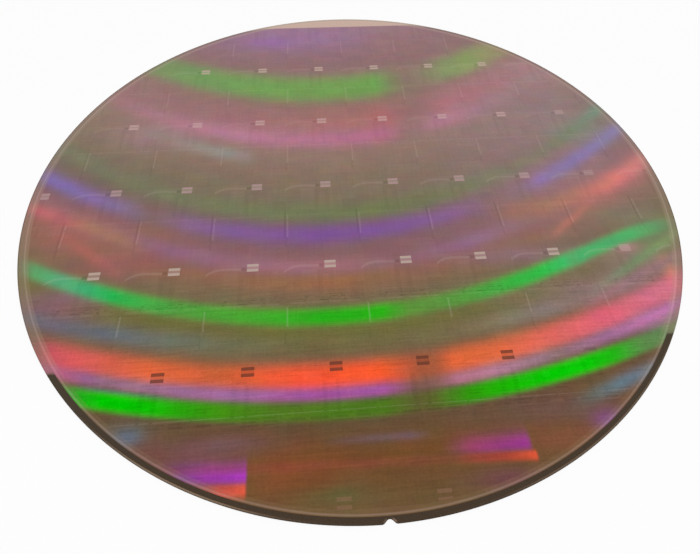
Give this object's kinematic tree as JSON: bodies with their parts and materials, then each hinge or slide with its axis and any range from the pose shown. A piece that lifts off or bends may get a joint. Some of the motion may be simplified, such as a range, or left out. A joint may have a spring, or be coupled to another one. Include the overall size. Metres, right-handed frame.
{
  "type": "silicon wafer",
  "caption": "Round, thin, notched silicon wafer with a rounded edge and a grid of printed chip fields on its polished front.",
  "frame": {"origin": "centre of the back face, which the wafer rests on", "axes": "+Z out of the printed front face, square to the wafer; -Y from the centre towards the notch; +X to the right with the notch at the bottom"},
  "size_m": [0.2, 0.2, 0.0007],
  "materials": {
    "silicon": "polished silicon, printed with device layers that show bands of interference colour"
  },
  "bodies": {
    "root": {"wafer": "silicon"}
  },
  "joints": []
}
